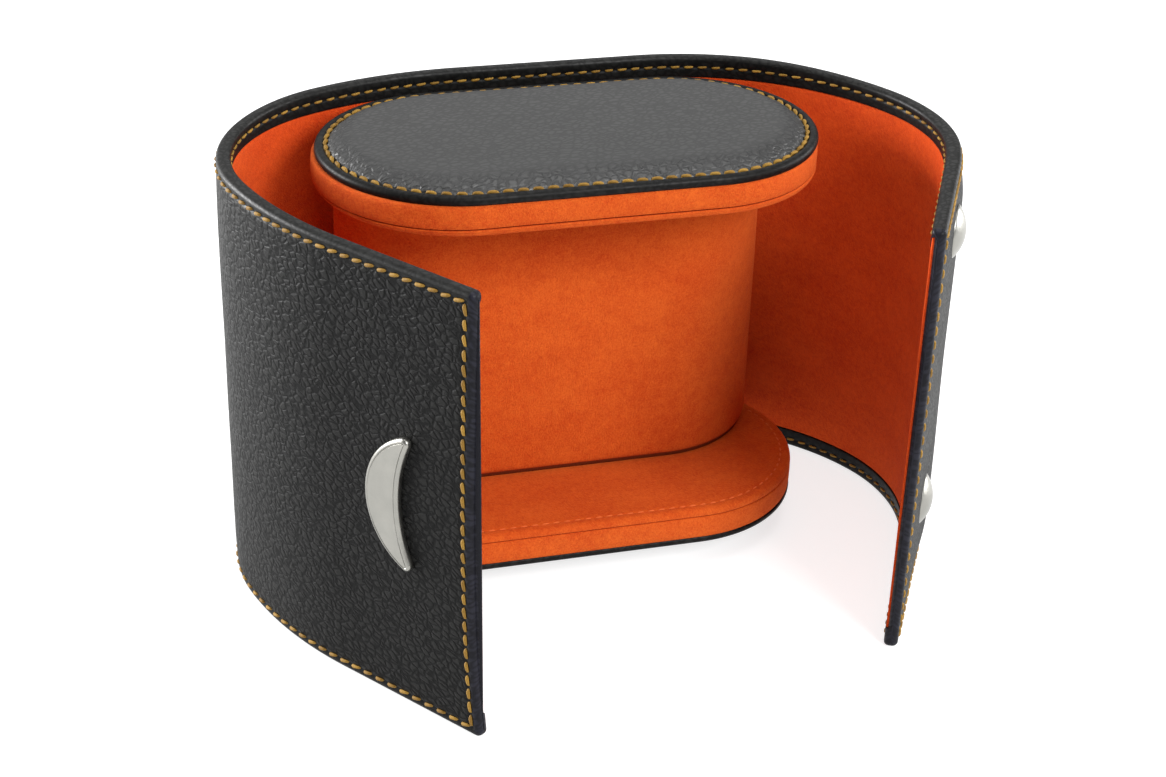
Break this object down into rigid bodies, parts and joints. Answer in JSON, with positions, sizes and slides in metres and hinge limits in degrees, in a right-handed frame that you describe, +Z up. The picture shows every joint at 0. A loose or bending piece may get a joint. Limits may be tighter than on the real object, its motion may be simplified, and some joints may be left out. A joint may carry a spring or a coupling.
{
  "type": "leather wrap case",
  "caption": "Small wrap case: a stiff stitched leather wall with suede lining curls round an oblong padded spool and closes in front with overlapping magnetic flaps.",
  "frame": {"origin": "middle of the footprint, on the surface that the wall's lower edge stands on", "axes": "+Z up, +X along the long side of the discs, -Y towards the opening between the flaps"},
  "size_m": [0.1604, 0.1174, 0.1],
  "materials": {
    "black_leather": "pebbled, satin",
    "orange_suede": "short suede nap",
    "stiff_board": "raw pressed fibreboard",
    "foam": "open-cell foam",
    "silver_metal": "satin plated",
    "steel_fixings": "plain zinc plated",
    "gold_thread": "waxed twisted thread"
  },
  "bodies": {
    "root": {"back_board": "stiff_board", "back_leather": "black_leather", "back_lining": "orange_suede", "back_stitching": "gold_thread", "base_board": "stiff_board", "base_leather_cover": "black_leather", "base_screws": "steel_fixings", "base_stitching": "gold_thread", "base_suede_band": "orange_suede", "base_suede_top": "orange_suede", "core_board": "stiff_board", "core_lower_plate": "stiff_board", "core_suede_sleeve": "orange_suede", "core_upper_plate": "stiff_board", "spine_pad": "orange_suede", "spine_rivets": "steel_fixings", "top_board": "stiff_board", "top_foam_pad": "foam", "top_leather_cover": "black_leather", "top_screws": "steel_fixings", "top_stitching": "gold_thread", "top_suede_band": "orange_suede", "top_suede_underside": "orange_suede"},
    "left_rear": {"left_rear_board": "stiff_board", "left_rear_leather": "black_leather", "left_rear_lining": "orange_suede", "left_rear_stitching": "gold_thread"},
    "left_end": {"left_end_board": "stiff_board", "left_end_leather": "black_leather", "left_end_lining": "orange_suede", "left_end_stitching": "gold_thread"},
    "left_flap": {"clasp_plate": "silver_metal", "clasp_rivets": "steel_fixings", "left_flap_board": "stiff_board", "left_flap_leather": "black_leather", "left_flap_lining": "orange_suede", "left_flap_stitching": "gold_thread", "magnet_discs": "steel_fixings"},
    "right_rear": {"right_rear_board": "stiff_board", "right_rear_leather": "black_leather", "right_rear_lining": "orange_suede", "right_rear_stitching": "gold_thread"},
    "right_end": {"right_end_board": "stiff_board", "right_end_leather": "black_leather", "right_end_lining": "orange_suede", "right_end_stitching": "gold_thread"},
    "right_flap": {"right_flap_board": "stiff_board", "right_flap_leather": "black_leather", "right_flap_lining": "orange_suede", "right_flap_stitching": "gold_thread", "stud_caps": "silver_metal", "stud_rivets": "steel_fixings"}
  },
  "joints": [
    {"name": "left_rear_fold", "type": "hinge", "parent": "root", "child": "left_rear", "pos_m": [-0.04171, 0.05236, 0.05], "axis": [0, 0, 1], "range_deg": [-5, 24.9], "stiffness_Nm_per_rad": 0.05},
    {"name": "left_middle_fold", "type": "hinge", "parent": "left_rear", "child": "left_end", "pos_m": [-0.07199, 0.03133, 0.05], "axis": [0, 0, 1], "range_deg": [-2.08, 10.18], "stiffness_Nm_per_rad": 0.03},
    {"name": "left_front_fold", "type": "hinge", "parent": "left_end", "child": "left_flap", "pos_m": [-0.07091, -0.01094, 0.05], "axis": [0, 0, 1], "range_deg": [-3.55, 17.46], "stiffness_Nm_per_rad": 0.03},
    {"name": "right_rear_fold", "type": "hinge", "parent": "root", "child": "right_rear", "pos_m": [0.03397, 0.05427, 0.05], "axis": [0, 0, -1], "range_deg": [-5, 20.97], "stiffness_Nm_per_rad": 0.05},
    {"name": "right_middle_fold", "type": "hinge", "parent": "right_rear", "child": "right_end", "pos_m": [0.06553, 0.03558, 0.05], "axis": [0, 0, -1], "range_deg": [-6.02, 25.07], "stiffness_Nm_per_rad": 0.03},
    {"name": "right_front_fold", "type": "hinge", "parent": "right_end", "child": "right_flap", "pos_m": [0.0756, -0.00301, 0.05], "axis": [0, 0, -1], "range_deg": [-3.82, 15.86], "stiffness_Nm_per_rad": 0.03}
  ],
  "couplings": [
    {"joint": "left_middle_fold", "follows": "left_rear_fold", "ratio": 0.40667},
    {"joint": "left_front_fold", "follows": "left_rear_fold", "ratio": 0.69922},
    {"joint": "right_middle_fold", "follows": "right_rear_fold", "ratio": 1.1931},
    {"joint": "right_front_fold", "follows": "right_rear_fold", "ratio": 0.75393}
  ]
}
